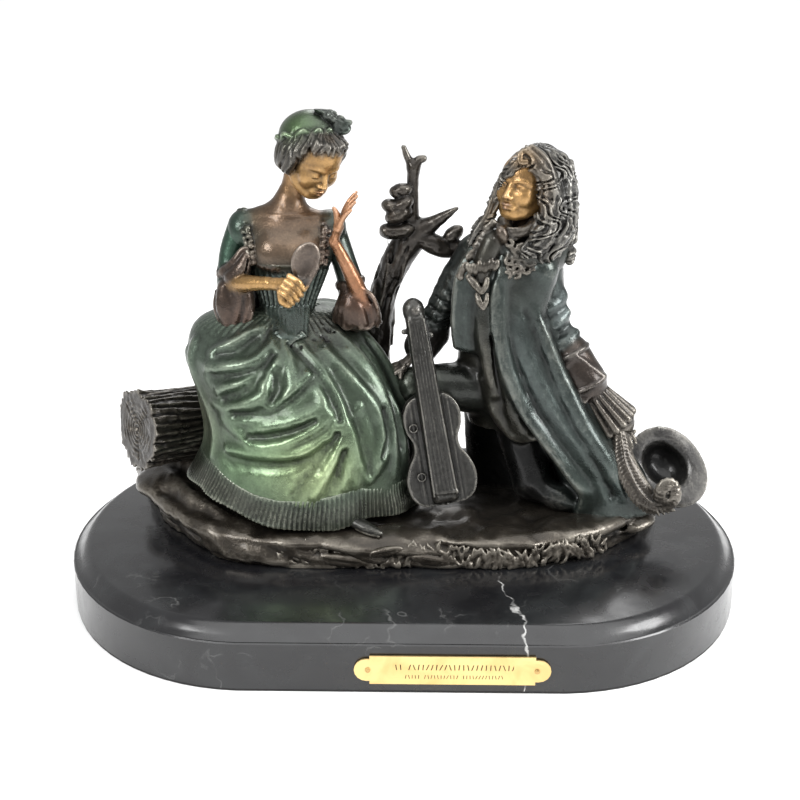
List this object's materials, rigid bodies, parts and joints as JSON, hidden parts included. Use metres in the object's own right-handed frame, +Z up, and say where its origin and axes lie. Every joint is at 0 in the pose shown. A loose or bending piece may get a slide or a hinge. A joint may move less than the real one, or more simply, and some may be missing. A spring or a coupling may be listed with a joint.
{
  "type": "bronze figure group",
  "caption": "Patinated bronze group of a seated lady and a kneeling gentleman with a fiddle, on an oval black marble base with a brass plate.",
  "frame": {"origin": "middle of the base's underside, on the surface it stands on", "axes": "+X to the viewer's right along the base, +Y away from the viewer, +Z up"},
  "size_m": [0.3558, 0.2481, 0.2554],
  "materials": {
    "aged_bronze": "green, brown and gold patina",
    "black_marble": "polished",
    "brass": "satin",
    "black_felt": "matt"
  },
  "bodies": {
    "root": {"bronze_group": "aged_bronze", "marble_base": "black_marble", "brass_plaque": "brass", "plaque_pin_left": "brass", "plaque_pin_right": "brass", "felt_pad": "black_felt"}
  },
  "joints": []
}
